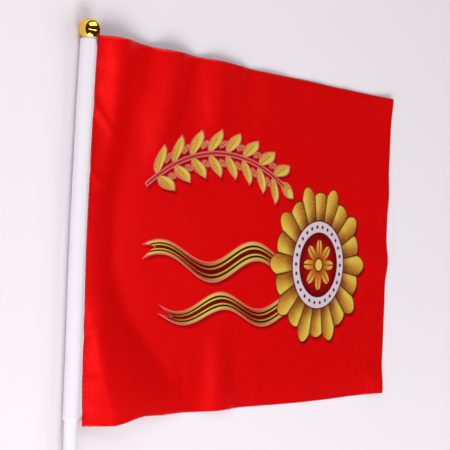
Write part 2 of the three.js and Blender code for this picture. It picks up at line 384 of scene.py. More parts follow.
def rounded_folds(x, y):
    """The hoist's section and the folds, averaged over a few millimetres across so that they are round,
    and less round at the low corner, where the cloth has a crease."""
    reach = 4.5 * smooth(x / 9) * (1 - 0.7 * smooth((-35 - y) / 40))
    total = 0.0
    for offset, share in ROUNDING:
        at = x + offset * reach
        total = total + share * (hoist_height(at, y) + sum(ridge_height(row, at, y) for row in FOLDS))
    return total


def cloth_height(x, y):
    """The thin cloth's underside. The rounded folds are raised by what the solid is thicker, so that the
    crests' tops meet the solid's, and the raise is full a little way from the seam, further at the
    hoist's middle. The fly curls up. Where the cloth lies low it has some slack and a small lift, which
    are less along the bottom edge. The gathers and fine ridges are added to all of it."""
    height = rounded_folds(x, y)
    full_at = 6 + 18 * hump(y - 20, 95)
    height = height + (SOLID_CLOTH - SATIN_THICKNESS) * smooth(height / LYING_BELOW) * smooth(x / full_at)
    curl = FLY_CURL * smooth((x - CLOTH_WIDTH + FLY_CURL_WIDTH) / FLY_CURL_WIDTH)
    height = height + curl * (1 - smooth(height / LYING_BELOW))
    loose = 1 - 0.85 * np.clip((-78 - y) / 22, 0, 1) ** 2
    lying = FLAT_LIFT * smooth((x - 15) / 30) * (1 - 0.6 * smooth(height / 3))
    height = height + puckers(x, y) + (lying + slack(x, y)) * loose
    for row in FINE_RIDGES:
        height = height + ridge_height(row, x, y)
    return np.maximum(height, 0.03)


def cut_line(rows, along):
    """How far an edge is pulled in: the sum of its rows' squared cosines."""
    return sum(row["inwards"] * hump(along - row["at"], row["half"]) for row in rows)


def cloth_point(x, y):
    """The flat cloth's point x, y laid out: pulled in at the cuts, bowed with the seam, and lifted."""
    share = x / CLOTH_WIDTH
    up = (y + HALF_HEIGHT) / (2 * HALF_HEIGHT)
    inwards = cut_line(BOTTOM_CUT, x) * (1 - up) - cut_line(TOP_CUT, x) * up
    flat_x = x + bow(y) * (1 - share) - cut_line(FLY_CUT, y) * share
    return np.stack([flat_x, y + inwards, cloth_height(x, y)], axis=-1)


# Meshes

def grid_faces(rows, columns, wrap_rows=False, wrap_columns=False):
    """Quads between neighbours of a grid of points, numbered row by row; wrapping joins the ends."""
    r = np.arange(rows if wrap_rows else rows - 1)[:, None]
    c = np.arange(columns if wrap_columns else columns - 1)[None, :]
    next_r, next_c = (r + 1) % rows, (c + 1) % columns
    corners = [r * columns + c, r * columns + next_c, next_r * columns + next_c, next_r * columns + c]
    return np.stack([np.broadcast_to(k, (r.size, c.size)) for k in corners], axis=-1).reshape(-1, 4)


def make_piece(name, points, faces, uv=None, merge=False):
    """A smooth-shaded object at the origin from points in the flag's millimetres, quads and UVs. Where
    merge is true, doubled points are joined and the faces are turned outwards."""
    placed = (points.reshape(-1, 3) + SEAM_ORIGIN) * MM
    mesh = bpy.data.meshes.new(name)
    mesh.from_pydata(placed, [], faces)
    if uv is not None:
        layer = mesh.uv_layers.new(name="UVMap")
        layer.data.foreach_set("uv", uv.reshape(-1, 2)[faces.ravel()].astype(np.float32).ravel())
    mesh.shade_smooth()
    if merge:
        work = bmesh.new()
        work.from_mesh(mesh)
        bmesh.ops.remove_doubles(work, verts=work.verts, dist=1e-7)
        bmesh.ops.recalc_face_normals(work, faces=work.faces)
        work.to_mesh(mesh)
        work.free()
    piece = bpy.data.objects.new(name, mesh)
    bpy.context.scene.collection.objects.link(piece)
    return piece


def tubes(paths, radii, sides, closed=False):
    """Round tubes along m paths of n points: circles across each path, in a frame of two normals."""
    if closed:
        tangent = np.roll(paths, -1, axis=1) - np.roll(paths, 1, axis=1)
    else:
        tangent = np.gradient(paths, axis=1)
    tangent /= np.linalg.norm(tangent, axis=-1, keepdims=True)
    guide = np.where(np.abs(tangent[..., 2:3]) < 0.9, [[[0.0, 0.0, 1.0]]], [[[1.0, 0.0, 0.0]]])
    first = np.cross(tangent, guide)
    first /= np.linalg.norm(first, axis=-1, keepdims=True)
    second = np.cross(tangent, first)
    angle = np.arange(sides) / sides * 2 * np.pi
    circle = first[:, :, None] * np.cos(angle)[:, None] + second[:, :, None] * np.sin(angle)[:, None]
    points = paths[:, :, None] + circle * radii[..., None, None]
    count, steps = paths.shape[:2]
    faces = grid_faces(steps, sides, wrap_rows=closed, wrap_columns=True)
    offsets = np.arange(count)[:, None, None] * steps * sides
    return points, (faces[None] + offsets).reshape(-1, 4)


def turned(profile, sides, centre_line):
    """A body of revolution: rings of a profile's radii at its y places, round a centre line."""
    angle = np.arange(sides) / sides * 2 * np.pi
    y, radius = np.array(profile, dtype=float).T
    ring = np.stack([np.cos(angle), np.zeros(sides), np.sin(angle)], axis=-1)
    points = centre_line(y)[:, None] + radius[:, None, None] * ring
    return points, grid_faces(len(y), sides, wrap_columns=True)


def tapered(radius, steps, count):
    """A radius for each step of each tube, nothing at both ends and nearly full between them."""
    shape = np.sin(np.linspace(0, np.pi, steps)) ** 0.35
    return radius * np.broadcast_to(shape, (count, steps)).copy()


def spaced(*stretches):
    """Grid lines from 0 on: each stretch has its end and its number of cells."""
    lines, start = [np.zeros(1)], 0.0
    for end, cells in stretches:
        lines.append(np.linspace(start, end, cells + 1)[1:])
        start = end
    return np.concatenate(lines)


# Pieces

def ragged(along):
    """The heat-cut edge's small unevenness: sines of clashing pitch and a little seeded jitter."""
    wave = np.sin(along / 1.7) + 0.8 * np.sin(along / 0.93 + 1) + 0.7 * np.sin(along / 4.3 + 2)
    return 0.07 * wave + rng.uniform(-0.12, 0.12, along.shape)


def add_cloth():
    """The satin sheet: the laid-out cloth on a grid that is finer by the seam, edges a little ragged."""
    x = spaced(*CLOTH_STRETCHES)
    y = np.linspace(-HALF_HEIGHT, HALF_HEIGHT, CLOTH_ROWS + 1)
    grid_x, grid_y = np.meshgrid(x, y)
    uv = np.stack([grid_x, grid_y + HALF_HEIGHT], axis=-1) / CLOTH_WIDTH
    points = cloth_point(grid_x, grid_y)
    points[0, :, 1] += ragged(x)
    points[-1, :, 1] += ragged(x)
    points[:, -1, 0] += ragged(y)
    points[:, 0, 0] += ragged(y) * 0.5
    piece = make_piece("satin_cloth", points, grid_faces(*grid_x.shape), uv)
    solidify = piece.modifiers.new("thickness", "SOLIDIFY")
    solidify.thickness = SATIN_THICKNESS * MM
    solidify.offset = 1.0
    solidify.material_offset = 1
    solidify.material_offset_rim = 2
    piece.data.materials.append(satin_material("printed_satin", printed=True))
    piece.data.materials.append(satin_material("satin_back", printed=False))
    piece.data.materials.append(cut_edge_material())
    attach(piece, "root")
    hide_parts("flag_cloth")


def tube_slack(y):
    """How far the sleeve's tube hangs off the stick: more towards the ball, less at the low end."""
    looser = 0.62 + 0.22 * smooth((y - 10) / 60) - 0.12 * smooth((-60 - y) / 40)
    return TUBE_SAG * looser * (0.93 + 0.07 * np.sin(y / 21 + 2))


def sleeve_points(side, y):
    """The folded strip, side running 0 to 1 across it: the tongue's upper layer from its tip to the
    stick, round the stick with slack that sags to the table, and the lower layer back. Past the seam
    both layers follow the red cloth's underside, and a shallow valley lies before it."""
    upper = side < 0.5
    out = np.where(upper, 1 - side / TONGUE_SHARE, 1 - (1 - side) / TONGUE_SHARE)
    turn = np.clip((side - TONGUE_SHARE) / (1 - 2 * TONGUE_SHARE), 0, 1)
    angle = UPPER_LEAVES + (2 * np.pi + LOWER_LEAVES - UPPER_LEAVES) * turn
    axis = axis_point(y)
    slackness = tube_slack(y)
    creases = 0.04 * np.sin(side * 61 + 0.8 * np.sin(y / 19)) * np.sin(y / 33 + 3) * hump(turn - 0.5, 0.5)
    radius = TUBE_RADIUS + slackness * hump(angle - TUBE_SAG_ANGLE, TUBE_SAG_HALF) + creases
    round_x = axis[..., 0] + radius * np.cos(angle)
    round_z = axis[..., 2] + radius * np.sin(angle)
    leaves = np.where(upper, UPPER_LEAVES, LOWER_LEAVES)
    leaves_round = leaves + 2 * np.pi * (~upper)
    root_radius = TUBE_RADIUS + slackness * hump(leaves_round - TUBE_SAG_ANGLE, TUBE_SAG_HALF)
    root_x = axis[..., 0] + root_radius * np.cos(leaves)
    root_z = axis[..., 2] + root_radius * np.sin(leaves)
    seam_x = bow(y)
    tongue_x = root_x + (seam_x + TONGUE_UNDER_CLOTH - root_x) * np.clip(out, 0, 1)
    past = np.clip(tongue_x - seam_x, 0, None)
    layer_z = cloth_height(past, y) - SLEEVE_THICKNESS * np.where(upper, 0.6, 1.75)
    before = np.clip((tongue_x - seam_x) / (root_x - seam_x), 0, 1)
    valley = VALLEY_DEPTH * hump(tongue_x - seam_x + VALLEY_FROM_SEAM, VALLEY_FROM_SEAM) * upper
    ripple = 0.07 * np.sin(y / 2.3 + 1.1 * np.sin(y / 11)) * hump(before - 0.3, 0.3)
    tongue_z = layer_z + (root_z - layer_z) * before**1.2 - valley + ripple * upper
    flat = out > 0
    shown_x = np.where(flat, tongue_x, round_x)
    shown_z = np.maximum(np.where(flat, tongue_z, round_z), 0.15)
    return np.stack([shown_x, np.broadcast_to(y, shown_x.shape), shown_z], axis=-1)


def add_sleeve():
    """The white strip: its section carried down the bowed axis, both ends cut aslant on the tongue and a
    little uneven."""
    across, down = SLEEVE_CELLS
    side = np.linspace(0, 1, across + 1)[None, :]
    travel = np.linspace(0, 1, down + 1)[:, None]
    tongue = smooth((np.abs(side - 0.5) / 0.5 - 0.28) / 0.5)
    top = SLEEVE_TOP - TOP_ASLANT * tongue
    bottom = SLEEVE_BOTTOM + BOTTOM_ASLANT * tongue
    y = top + (bottom - top) * travel
    frayed = (travel < 1e-6) | (travel > 1 - 1e-6)
    y = y + frayed * 0.12 * np.sin(side * 57 + 4 * np.sin(side * 23))
    points = sleeve_points(side, y)
    steps = np.linalg.norm(np.diff(points[down // 2], axis=0), axis=-1)
    width = np.concatenate([[0.0], np.cumsum(steps)])
    uv = np.stack(np.broadcast_arrays(width[None, :], y + HALF_HEIGHT), axis=-1) / CLOTH_WIDTH
    piece = make_piece("sleeve_strip", points, grid_faces(down + 1, across + 1), uv)
    solidify = piece.modifiers.new("thickness", "SOLIDIFY")
    solidify.thickness = SLEEVE_THICKNESS * MM
    solidify.offset = 0.0
    piece.data.materials.append(sleeve_material())
    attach(piece, "root")
    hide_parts("sleeve")


def add_stick():
    """The stick: a thin-walled tube, its profile run down the outside, over the rim and up the bore."""
    bottom = STICK_TOP - STICK_LENGTH
    bore = STICK_RADIUS - STICK_WALL
    top = [(STICK_TOP, 0.0), (STICK_TOP, STICK_RADIUS - 0.3)]
    outside = [(y, STICK_RADIUS) for y in np.linspace(STICK_TOP - 0.3, bottom + 1, 90)]
    rim = [
        (bottom + 0.25, STICK_RADIUS),
        (bottom + 0.05, STICK_RADIUS - 0.2),
        (bottom, STICK_RADIUS - 0.45),
        (bottom, bore + 0.3),
        (bottom + 0.1, bore + 0.08),
        (bottom + 0.4, bore),
    ]
    inside = [(y, bore) for y in np.linspace(bottom + 2, STICK_TOP - 1, 40)]
    profile = top + outside + rim + inside + [(STICK_TOP - 1, 0.0)]
    points, faces = turned(profile, STICK_SIDES, axis_point)
    around = np.arange(STICK_SIDES) / STICK_SIDES
    uv = np.stack(np.broadcast_arrays(around[None], points[..., 1] / 100), axis=-1)
    piece = make_piece("plastic_stick", points, faces, uv, merge=True)
    piece.data.materials.append(stick_material())
    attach(piece, "root")
    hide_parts("stick")


def add_ball():
    """The gilt ball: a sphere's profile from its crown to the socket's rim, a faint ring where its two
    halves meet, and the socket's wall."""
    socket = STICK_RADIUS + 0.3
    angle = np.linspace(0, np.pi - np.arcsin(socket / BALL_RADIUS) - 0.08, 72)
    meeting = 0.012 * hump(angle - np.pi / 2, 0.05)
    radius = (BALL_RADIUS + meeting) * np.sin(angle)
    place = BALL_Y + (BALL_RADIUS + meeting) * np.cos(angle)
    profile = list(zip(place, radius))
    lip = place[-1]
    profile += [(lip - 0.12, socket + 0.28), (lip - 0.14, socket + 0.12), (lip - 0.05, socket)]
    profile += [(y, socket) for y in np.linspace(lip + 0.3, BALL_Y + 1.0, 5)]
    profile += [(BALL_Y + 1.0, 0.0)]
    middle = axis_point(np.array(BALL_Y))

    def straight(y):
        line = np.broadcast_to(middle, (len(y), 3)).copy()
        line[:, 1] = y
        return line

    points, faces = turned(profile, BALL_SIDES, straight)
    points[..., 2] = np.maximum(points[..., 2], 0.0)
    piece = make_piece("gilt_ball", points, faces, merge=True)
    piece.data.materials.append(gilt_material())
    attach(piece, "root")
    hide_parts("ball_finial")


def add_stitches():
    """Lock stitches on the cloth beside the seam: short arches, one pitch apart, each a tapered tube."""
    steps = 9
    starts = np.arange(SLEEVE_BOTTOM + 2.2, SLEEVE_TOP - 3.5, STITCH_PITCH)
    starts = starts + rng.uniform(-0.12, 0.12, starts.shape)
    share = np.linspace(0, 1, steps)
    y = starts[:, None] + STITCH_LENGTH * share[None, :]
    x = STITCH_FROM_EDGE + 0.1 * np.sin(y / 19)
    paths = cloth_point(x, y)
    paths[..., 2] += SATIN_THICKNESS + 0.12 * np.sin(np.pi * share) - 0.05
    points, faces = tubes(paths, tapered(STITCH_RADIUS, steps, len(starts)), 8)
    piece = make_piece("seam_stitches", points, faces, merge=True)
    piece.data.materials.append(thread_material())
    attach(piece, "root")


def edge_path():
    """The cut edge's line all round the cloth: bottom, fly, top and back down the hoist."""
    x = np.arange(0, CLOTH_WIDTH, EDGE_STEP)
    y = np.arange(-HALF_HEIGHT, HALF_HEIGHT, EDGE_STEP)
    low, high = np.full_like(x, -HALF_HEIGHT), np.full_like(x, HALF_HEIGHT)
    fly, hoist = np.full_like(y, CLOTH_WIDTH), np.zeros_like(y)
    flat_x = np.concatenate([x, fly, CLOTH_WIDTH - x, hoist])
    flat_y = np.concatenate([low, y, high, -y])
    path = cloth_point(flat_x, flat_y)
    path[..., 2] += SATIN_THICKNESS / 2
    return path


def add_cut_edge():
    """The melted bead of the heat-cut edge: a thin closed tube of uneven radius along the cut."""
    path = edge_path()
    path = path + rng.uniform(-0.07, 0.07, path.shape) * np.array([1.0, 1.0, 0.3])
    uneven = 0.05 * np.sin(np.arange(len(path)) * 1.7) + rng.uniform(-0.04, 0.08, len(path))
    points, faces = tubes(path[None], (BEAD_RADIUS + uneven)[None], 6, closed=True)
    points[..., 2] = np.maximum(points[..., 2], 0.02)
    piece = make_piece("cut_edge_bead", points, faces, merge=True)
    piece.data.materials.append(cut_edge_material())
    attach(piece, "root")


def add_fibres():
    """Loose fibre ends at the cut edge: short curved hairs that stand out from it at seeded places."""
    path = edge_path()
    steps = 6
    index = rng.integers(4, len(path) - 4, FIBRE_COUNT)
    root = path[index]
    tangent = path[index + 2] - path[index - 2]
    tangent /= np.linalg.norm(tangent, axis=-1, keepdims=True)
    outwards = np.stack([tangent[:, 1], -tangent[:, 0], np.zeros(FIBRE_COUNT)], axis=-1)
    way = (outwards + rng.uniform(-0.9, 0.9, (FIBRE_COUNT, 1)) * tangent)[:, None, :]
    length = rng.uniform(0.2, 0.75, (FIBRE_COUNT, 1, 1)) ** 1.3
    share = np.linspace(0, 1, steps)[None, :, None]
    paths = root[:, None, :] + way * length * share
    paths[..., 2] += rng.uniform(-0.05, 0.5, (FIBRE_COUNT, 1)) * length[..., 0] * share[..., 0] ** 2
    paths[..., 2] = np.maximum(paths[..., 2], 0.05)
    points, faces = tubes(paths, tapered(FIBRE_RADIUS, steps, FIBRE_COUNT), 4)
    piece = make_piece("edge_fibres", points, faces, merge=True)
    piece.data.materials.append(cut_edge_material())
    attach(piece, "root")


def add_loose_thread():
    """One thread end at the sleeve's lower end: a tapered tube on its route, rounded by averaging."""
    known = np.arange(len(LOOSE_THREAD))
    share = np.linspace(0, known[-1], 41)
    path = np.stack([np.interp(share, known, LOOSE_THREAD[:, axis]) for axis in range(3)], axis=-1)
    kernel = np.hanning(9)[1:-1]
    kernel /= kernel.sum()
    held = np.pad(path, ((3, 3), (0, 0)), mode="edge")
    path = np.stack([np.convolve(held[:, axis], kernel, "valid") for axis in range(3)], axis=-1)
    points, faces = tubes(path[None], tapered(LOOSE_THREAD_RADIUS, len(path), 1), 8)
    piece = make_piece("loose_thread", points, faces, merge=True)
    piece.data.materials.append(thread_material())
    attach(piece, "root")


# Material helpers

# The Mix node's sockets by number, because its colour sockets share their names with others.
MIX_SHARE = 0
MIX_UNDER = 6
MIX_OVER = 7
MIX_COLOUR = 2


class Value:
    """A number that varies over a surface. Arithmetic on it adds Math nodes to its node tree."""

    def __init__(self, tree, socket):
        self.tree = tree
        self.socket = socket

    def math(self, operation, *others):
        """A Math node of one operation on this value and the others, values or plain numbers."""
        node = self.tree.nodes.new("ShaderNodeMath")
        node.operation = operation
        for slot, value in zip(node.inputs, (self, *others)):
            if isinstance(value, Value):
                self.tree.links.new(value.socket, slot)
            else:
                slot.default_value = value
        return Value(self.tree, node.outputs[0])

    def __add__(self, other):
        return self.math("ADD", other)

    def __sub__(self, other):
        return self.math("SUBTRACT", other)

    def __rsub__(self, other):
        return self.math("MULTIPLY_ADD", -1.0, other)

    def __mul__(self, other):
        return self.math("MULTIPLY", other)

    def __truediv__(self, other):
        return self.math("DIVIDE", other)

    def size(self):
        return self.math("ABSOLUTE")

    def power(self, exponent):
        return self.math("POWER", exponent)

    def least(self, other):
        return self.math("MINIMUM", other)

    def most(self, other):
        return self.math("MAXIMUM", other)

    def cell(self, pitch):
        """The place within cells of one pitch, from minus a half pitch to a half pitch."""
        return (self + pitch / 2).math("FLOORED_MODULO", pitch) - pitch / 2

    def ramp(self, start, end, low=0.0, high=1.0):
        """From low to high as the value goes from start to end, and held past them."""
        node = self.tree.nodes.new("ShaderNodeMapRange")
        for slot, value in zip(("From Min", "From Max", "To Min", "To Max"), (start, end, low, high)):
            node.inputs[slot].default_value = value
        self.tree.links.new(self.socket, node.inputs["Value"])
        return Value(self.tree, node.outputs["Result"])

    def inside(self, soft=0.12):
        """1 where a distance is negative and 0 where it is positive, over a soft border."""
        return self.ramp(-soft, soft, 1.0, 0.0)


def length_of(x, y):
    """The root of x squared plus y squared."""
    return (x * x + y * y).math("SQRT")


def paint(tree, share, under, over):
    """A Mix node's colour: under where share is 0 and over where it is 1."""
    node = tree.nodes.new("ShaderNodeMix")
    node.data_type = "RGBA"
    for index, value in ((MIX_SHARE, share), (MIX_UNDER, under), (MIX_OVER, over)):
        if isinstance(value, Value):
            tree.links.new(value.socket, node.inputs[index])
        elif isinstance(value, bpy.types.NodeSocket):
            tree.links.new(value, node.inputs[index])
        else:
            node.inputs[index].default_value = value
    return node.outputs[MIX_COLOUR]


def noise(tree, vector, scale, detail=2.0, stretch=None):
    """A Noise texture's value on a vector socket, which stretch may scale unevenly first."""
    if stretch is not None:
        mapping = tree.nodes.new("ShaderNodeMapping")
        mapping.inputs["Scale"].default_value = stretch
        tree.links.new(vector, mapping.inputs["Vector"])
        vector = mapping.outputs["Vector"]
    node = tree.nodes.new("ShaderNodeTexNoise")
    node.inputs["Scale"].default_value = scale
    node.inputs["Detail"].default_value = detail
    tree.links.new(vector, node.inputs["Vector"])
    return Value(tree, node.outputs["Fac"])


def new_material(name):
    """An empty material with its Principled shader, tree and output joined."""
    material = bpy.data.materials.new(name)
    material.use_nodes = True
    tree = material.node_tree
    tree.nodes.clear()
    output = tree.nodes.new("ShaderNodeOutputMaterial")
    shader = tree.nodes.new("ShaderNodeBsdfPrincipled")
    tree.links.new(shader.outputs["BSDF"], output.inputs["Surface"])
    return material, tree, shader


def coordinates(tree, kind):
    """The Texture Coordinate node's output of one kind."""
    return tree.nodes.new("ShaderNodeTexCoord").outputs[kind]


def cloth_place(tree):
    """The place on a flat cloth in millimetres, from its UV map."""
    scale = tree.nodes.new("ShaderNodeVectorMath")
    scale.operation = "SCALE"
    scale.inputs["Scale"].default_value = CLOTH_WIDTH
    tree.links.new(coordinates(tree, "UV"), scale.inputs[0])
    return scale.outputs["Vector"]


def from_seam_and_middle(tree, place):
    """A flat cloth's x from the seam and y from the middle of its height."""
    parts = tree.nodes.new("ShaderNodeSeparateXYZ")
    tree.links.new(place, parts.inputs["Vector"])
    return Value(tree, parts.outputs["X"]), Value(tree, parts.outputs["Y"]) - HALF_HEIGHT


def bump(tree, shader, height, distance, strength):
    """A Bump node from a height value to the shader's normal, its distance in metres."""
    node = tree.nodes.new("ShaderNodeBump")
    node.inputs["Distance"].default_value = distance
    node.inputs["Strength"].default_value = strength
    tree.links.new(height.socket, node.inputs["Height"])
    tree.links.new(node.outputs["Normal"], shader.inputs["Normal"])


@cache
def weave_group():
    """A woven surface: yarns of a pitch along and across, with the one across on top wherever the count
    of yarns passed, column times the shift plus row, is a multiple of the repeat."""
    group = bpy.data.node_groups.new("woven_yarns", "ShaderNodeTree")
    for name, kind in (("Place", "NodeSocketVector"), ("Pitch", "NodeSocketFloat"),
                       ("Shift", "NodeSocketFloat"), ("Repeat", "NodeSocketFloat")):
        group.interface.new_socket(name, in_out="INPUT", socket_type=kind)
    for name in ("Height", "Gap Shade"):
        group.interface.new_socket(name, in_out="OUTPUT", socket_type="NodeSocketFloat")
    entry = group.nodes.new("NodeGroupInput")
    leave = group.nodes.new("NodeGroupOutput")
    parts = group.nodes.new("ShaderNodeSeparateXYZ")
    group.links.new(entry.outputs["Place"], parts.inputs["Vector"])
    pitch = Value(group, entry.outputs["Pitch"])
    column = Value(group, parts.outputs["X"]) / pitch
    row = Value(group, parts.outputs["Y"]) / pitch
    warp = (column.math("FRACT") * np.pi).math("SINE")
    weft = (row.math("FRACT") * np.pi).math("SINE")
    passed = column.math("FLOOR") * Value(group, entry.outputs["Shift"]) + row.math("FLOOR")
    place = passed.math("FLOORED_MODULO", Value(group, entry.outputs["Repeat"]))
    crossing = place.math("LESS_THAN", 0.5)
    height = warp * (1 - crossing) + weft * crossing
    group.links.new(height.socket, leave.inputs["Height"])
    # The Gap Shade output: how deep a point lies between yarns, which the materials paint as shade.
    group.links.new((1 - height).power(2.0).socket, leave.inputs["Gap Shade"])
    return group


def add_weave(tree, place, pitch, shift, repeat):
    """The woven surface's height and its depth between yarns, which is painted as shade, in a material."""
    node = tree.nodes.new("ShaderNodeGroup")
    node.node_tree = weave_group()
    tree.links.new(place, node.inputs["Place"])
    for name, value in (("Pitch", pitch), ("Shift", shift), ("Repeat", repeat)):
        node.inputs[name].default_value = value
    return Value(tree, node.outputs["Height"]), Value(tree, node.outputs["Gap Shade"])


# Print

def rosette_fields(x, y):
    """The rosette's radius, its angle, and its pleats: a signed place in a pleat and the edge's distance."""
    dx, dy = x - ROSETTE_AT[0], y - ROSETTE_AT[1]
    radius = length_of(dx, dy)
    angle = dy.math("ARCTAN2", dx)
    pleat = (angle * (ROSETTE_PLEATS / (2 * np.pi))).cell(1.0) * 2
    scallops = (angle * (ROSETTE_PLEATS / 2)).math("COSINE") * 2.4
    edge = radius - (scallops - pleat * pleat * 5 + ROSETTE_RADIUS)
    return radius, angle, pleat, edge


def sprig_fields(x, y):
    """The sprig on its arc: the leaves', stem's and berries' distances, and the place across a leaf. A
    leaf is a sine's bulge on each side of the arc, slanted forwards, and one more ends the sprig."""
    dx, dy = x - SPRIG_CENTRE[0], y - SPRIG_CENTRE[1]
    along = dx.math("ARCTAN2", dy) * SPRIG_RADIUS
    across = length_of(dx, dy) - SPRIG_RADIUS
    side = across.size()
    sheared = along - side * LEAF_SLANT
    place = sheared.cell(LEAF_PITCH)
    middle, half = (SPRIG_START + SPRIG_END) / 2, (SPRIG_END - SPRIG_START) / 2
    beyond = (sheared - middle).size() - half
    bulge = (side.ramp(1.0, LEAF_REACH, 0.0, np.pi).math("SINE")).power(0.75) * 3.5
    leaves = (place.size() * 0.8 - bulge).most(side - LEAF_REACH).most(beyond)
    tip_bulge = (along.ramp(SPRIG_END + 1, SPRIG_END + 16, 0.0, np.pi).math("SINE")).power(0.75) * 3.4
    leaves = leaves.least((side - tip_bulge).most((along - SPRIG_END - 8.5).size() - 7.4))
    stem = (side - 0.65).most((along - middle - 1).size() - half - 3)
    between = (sheared + LEAF_PITCH / 2).cell(LEAF_PITCH)
    berries = (length_of(between * 0.8, side - 5.4) - BERRY_RADIUS).most(beyond + 4)
    return leaves, stem, berries, place, side


def streamer_fields(x, y, row):
    """A waving streamer: its distance, forked at the left end, the place across it from -1 to 1, and
    the angle of its wave."""
    turn = (x - row["left"]) * (2 * np.pi / row["wave"]) + row["phase"]
    centre = turn.math("SINE") * row["sway"] + row["level"]
    half = x.ramp(row["left"], row["left"] + 46, row["half"] * 0.55, row["half"])
    half = half * (turn.math("COSINE") * 0.22 + 1)
    across = (y - centre) / half
    distance = (across.size() - 1) * half
    fork = (row["left"] + FORK_DEPTH) - x - across.size() * FORK_DEPTH
    return distance.most(fork).most(x - row["right"]), across, turn


def printed_distance(x, y):
    """The least distance to any printed motif, which its soft shadow is drawn from."""
    leaves, stem, berries = sprig_fields(x, y)[:3]
    nearest = rosette_fields(x, y)[3].least(leaves).least(stem).least(berries)
    for row in STREAMERS:
        nearest = nearest.least(streamer_fields(x, y, row)[0])
    return nearest


def paint_streamers(tree, x, y, grain, colour):
    """Each streamer: a pink outline, then gold, black, gold and dark red stripes with a silky shade."""
    for row in STREAMERS:
        distance, across, turn = streamer_fields(x, y, row)
        colour = paint(tree, (distance - 0.7).inside(), colour, PINK)
        side = across.size()
        gold = paint(tree, (turn + 0.9).math("SINE").ramp(-1.0, 1.0), GOLD_DEEP, GOLD_LIGHT)
        gold = paint(tree, grain * 0.5, gold, GOLD)
        stripes = paint(tree, side.ramp(0.66, 0.72), BLACK, gold)
        stripes = paint(tree, side.ramp(0.48, 0.42), stripes, gold)
        stripes = paint(tree, side.ramp(0.28, 0.22), stripes, DARK_RED)
        colour = paint(tree, distance.inside(), colour, stripes)
    return colour


def paint_sprig(tree, x, y, grain, colour):
    """The sprig: pink outlines, leaves shaded from deep gold to light with a vein, and berries."""
    leaves, stem, berries, place, side = sprig_fields(x, y)
    nearest = leaves.least(stem).least(berries)
    colour = paint(tree, (nearest - 0.8).inside(), colour, PINK)
    tone = paint(tree, y.ramp(14, 62), GOLD_DEEP, GOLD)
    tone = paint(tree, place.ramp(-3.5, 3.0), tone, GOLD_LIGHT)
    tone = paint(tree, grain, tone, GOLD_LIGHT)
    vein = (place.size() - 0.22).inside(0.1) * side.ramp(10.5, 9.0)
    tone = paint(tree, vein, tone, GOLD_DEEP)
    colour = paint(tree, leaves.inside(), colour, tone)
    colour = paint(tree, stem.inside(), colour, GOLD_DEEP)
    return paint(tree, berries.inside(), colour, paint(tree, grain, GOLD, DARK_RED))


def paint_rosette(tree, x, y, grain, colour):
    """The rosette: pleats with a light and a dark side, a dotted pale ring, and a flower on a disc."""
    radius, angle, pleat, edge = rosette_fields(x, y)
    colour = paint(tree, (edge - 0.8).inside(), colour, DARK_RED)
    tone = paint(tree, radius.ramp(28, 46), GOLD_DEEP, GOLD)
    tone = paint(tree, pleat.ramp(-0.2, 0.55) * 0.85, tone, GOLD_LIGHT)
    tone = paint(tree, pleat.ramp(-0.2, -0.8) * 0.75, tone, DARK_RED)
    tone = paint(tree, grain * 0.7, tone, GOLD_LIGHT)
    tone = paint(tree, radius.ramp(36, 27) * 0.8, tone, DARK_RED)
    tone = paint(tree, pleat.size().ramp(0.86, 0.97), tone, DARK_RED)
    colour = paint(tree, edge.inside(), colour, tone)
    ring = (radius - RING_RADIUS).size() - RING_HALF
    colour = paint(tree, (ring - 0.8).inside(), colour, DARK_RED)
    spacing = 2 * np.pi * RING_RADIUS / RING_DOTS
    dot = length_of((angle * RING_RADIUS).cell(spacing), radius - RING_RADIUS) - DOT_RADIUS
    pale = paint(tree, dot.inside(), PINK_WHITE, DARK_RED)
    colour = paint(tree, ring.inside(), colour, pale)
    disc = paint(tree, radius.ramp(4, DISC_RADIUS), RED, DARK_RED)
    colour = paint(tree, (radius - DISC_RADIUS).inside(), colour, disc)
    lobes = (angle * 4).math("COSINE").size().power(0.7)
    petals = radius - (lobes * 11.5 + 4.5)
    tone = paint(tree, radius.ramp(5, 15), GOLD_DEEP, GOLD_LIGHT)
    tone = paint(tree, grain * 0.6, tone, GOLD)
    tone = paint(tree, lobes.ramp(0.985, 0.998), tone, GOLD_DEEP)
    colour = paint(tree, (petals - 0.6).inside(), colour, BLACK)
    colour = paint(tree, petals.inside(), colour, tone)
    colour = paint(tree, (radius - 4.6).inside(), colour, DARK_RED)
    return paint(tree, (radius - 3.6).inside(), colour, GOLD_LIGHT)


def print_colour(tree, x, y, place, ground):
    """The whole print over the red ground: its soft shadow, streamers, sprig and rosette."""
    grain = noise(tree, place, 1.7, detail=1.0).ramp(0.50, 0.62)
    shadow = printed_distance(x - SHADOW_SHIFT[0], y - SHADOW_SHIFT[1]).ramp(1.6, -1.2, 0.0, 0.8)
    colour = paint(tree, shadow, ground, RED_SHADOW)
    colour = paint_streamers(tree, x, y, grain, colour)
    colour = paint_sprig(tree, x, y, grain, colour)
    return paint_rosette(tree, x, y, grain, colour)


# Materials

